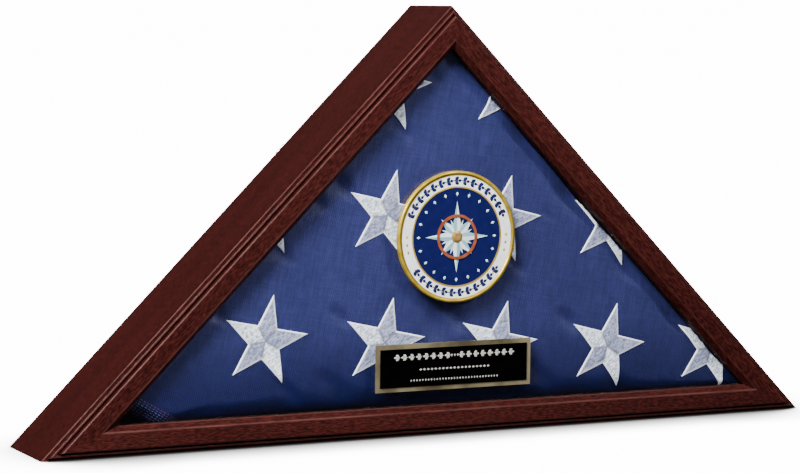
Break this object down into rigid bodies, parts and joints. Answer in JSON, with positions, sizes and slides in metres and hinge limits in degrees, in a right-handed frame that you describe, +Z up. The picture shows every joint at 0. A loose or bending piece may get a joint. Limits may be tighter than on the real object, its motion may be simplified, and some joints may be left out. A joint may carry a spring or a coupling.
{
  "type": "folded flag display case",
  "caption": "Triangular glazed wooden case holding a folded star flag, with a round enamel medallion and a black nameplate on the glass and a lift-off back held by turn buttons.",
  "frame": {"origin": "middle of the base's underside, across its width and its depth", "axes": "+X along the base to the viewer's right, +Y from the glass to the back panel, +Z up to the apex"},
  "size_m": [0.648, 0.0798, 0.324],
  "materials": {
    "mahogany": "satin lacquered mahogany with open grain",
    "dark_wood": "stained wood strip, satin",
    "zinc_steel": "zinc plated",
    "clear_glass": "clear and polished",
    "flag_cloth": "woven cotton, matt",
    "star_embroidery": "white satin stitch",
    "fibreboard": "hardboard, smooth side out",
    "felt": "pressed felt",
    "brass_screw": "bright",
    "brass_plate": "satin",
    "nickel_wire": "nickel plated",
    "rubber": "matt",
    "gold_plate": "polished gold plate",
    "white_enamel": "gloss",
    "blue_enamel": "gloss",
    "teal_enamel": "gloss",
    "copper_enamel": "gloss",
    "foam_tape": "matt",
    "satin_brass": "satin",
    "black_lacquer": "gloss"
  },
  "bodies": {
    "case": {"left_rail": "mahogany", "right_rail": "mahogany", "base_rail": "mahogany", "corner_nails": "zinc_steel", "glass_pane": "clear_glass", "left_glass_strip": "dark_wood", "right_glass_strip": "dark_wood", "base_glass_strip": "dark_wood", "glazing_brads": "zinc_steel", "folded_flag": "flag_cloth", "flag_stars": "star_embroidery", "turn_button_screws": "brass_screw", "hanger_strap_left": "zinc_steel", "hanger_strap_right": "zinc_steel", "hanger_screws": "zinc_steel", "wall_bumpers": "rubber", "medallion_body": "gold_plate", "medallion_white_ring": "white_enamel", "medallion_blue_field": "blue_enamel", "medallion_rose": "teal_enamel", "medallion_hoop": "copper_enamel", "medallion_boss": "gold_plate", "medallion_tape": "foam_tape", "nameplate_border": "satin_brass", "nameplate_black": "black_lacquer", "nameplate_tape": "foam_tape"},
    "turn_button_right_high": {"turn_button_right_high": "brass_plate"},
    "turn_button_right_low": {"turn_button_right_low": "brass_plate"},
    "turn_button_left_high": {"turn_button_left_high": "brass_plate"},
    "turn_button_left_low": {"turn_button_left_low": "brass_plate"},
    "turn_button_base_left": {"turn_button_base_left": "brass_plate"},
    "turn_button_base_right": {"turn_button_base_right": "brass_plate"},
    "back_panel": {"back_panel": "fibreboard", "back_felt": "felt"},
    "hanger_ring_left": {"hanger_ring_left": "nickel_wire"},
    "hanger_ring_right": {"hanger_ring_right": "nickel_wire"}
  },
  "joints": [
    {"name": "turn_button_right_high_turn", "type": "hinge", "parent": "case", "child": "turn_button_right_high", "pos_m": [0.07591, 0.0383, 0.23854], "axis": [0, 1, 0], "continuous": true},
    {"name": "turn_button_right_low_turn", "type": "hinge", "parent": "case", "child": "turn_button_right_low", "pos_m": [0.23854, 0.0383, 0.07591], "axis": [0, 1, 0], "continuous": true},
    {"name": "turn_button_left_high_turn", "type": "hinge", "parent": "case", "child": "turn_button_left_high", "pos_m": [-0.07591, 0.0383, 0.23854], "axis": [0, 1, 0], "continuous": true},
    {"name": "turn_button_left_low_turn", "type": "hinge", "parent": "case", "child": "turn_button_left_low", "pos_m": [-0.23854, 0.0383, 0.07591], "axis": [0, 1, 0], "continuous": true},
    {"name": "turn_button_base_left_turn", "type": "hinge", "parent": "case", "child": "turn_button_base_left", "pos_m": [-0.16, 0.0383, 0.00675], "axis": [0, 1, 0], "continuous": true},
    {"name": "turn_button_base_right_turn", "type": "hinge", "parent": "case", "child": "turn_button_base_right", "pos_m": [0.16, 0.0383, 0.00675], "axis": [0, 1, 0], "continuous": true},
    {"name": "back_panel_pull", "type": "slide", "parent": "case", "child": "back_panel", "axis": [0, 1, 0], "range_m": [0, 0.12]},
    {"name": "hanger_ring_right_swing", "type": "hinge", "parent": "case", "child": "hanger_ring_right", "pos_m": [0.10129, 0.0399, 0.21316], "axis": [0.7071, 0, 0.7071], "range_deg": [0, 172]},
    {"name": "hanger_ring_left_swing", "type": "hinge", "parent": "case", "child": "hanger_ring_left", "pos_m": [-0.10129, 0.0399, 0.21316], "axis": [0.7071, 0, -0.7071], "range_deg": [0, 172]}
  ]
}
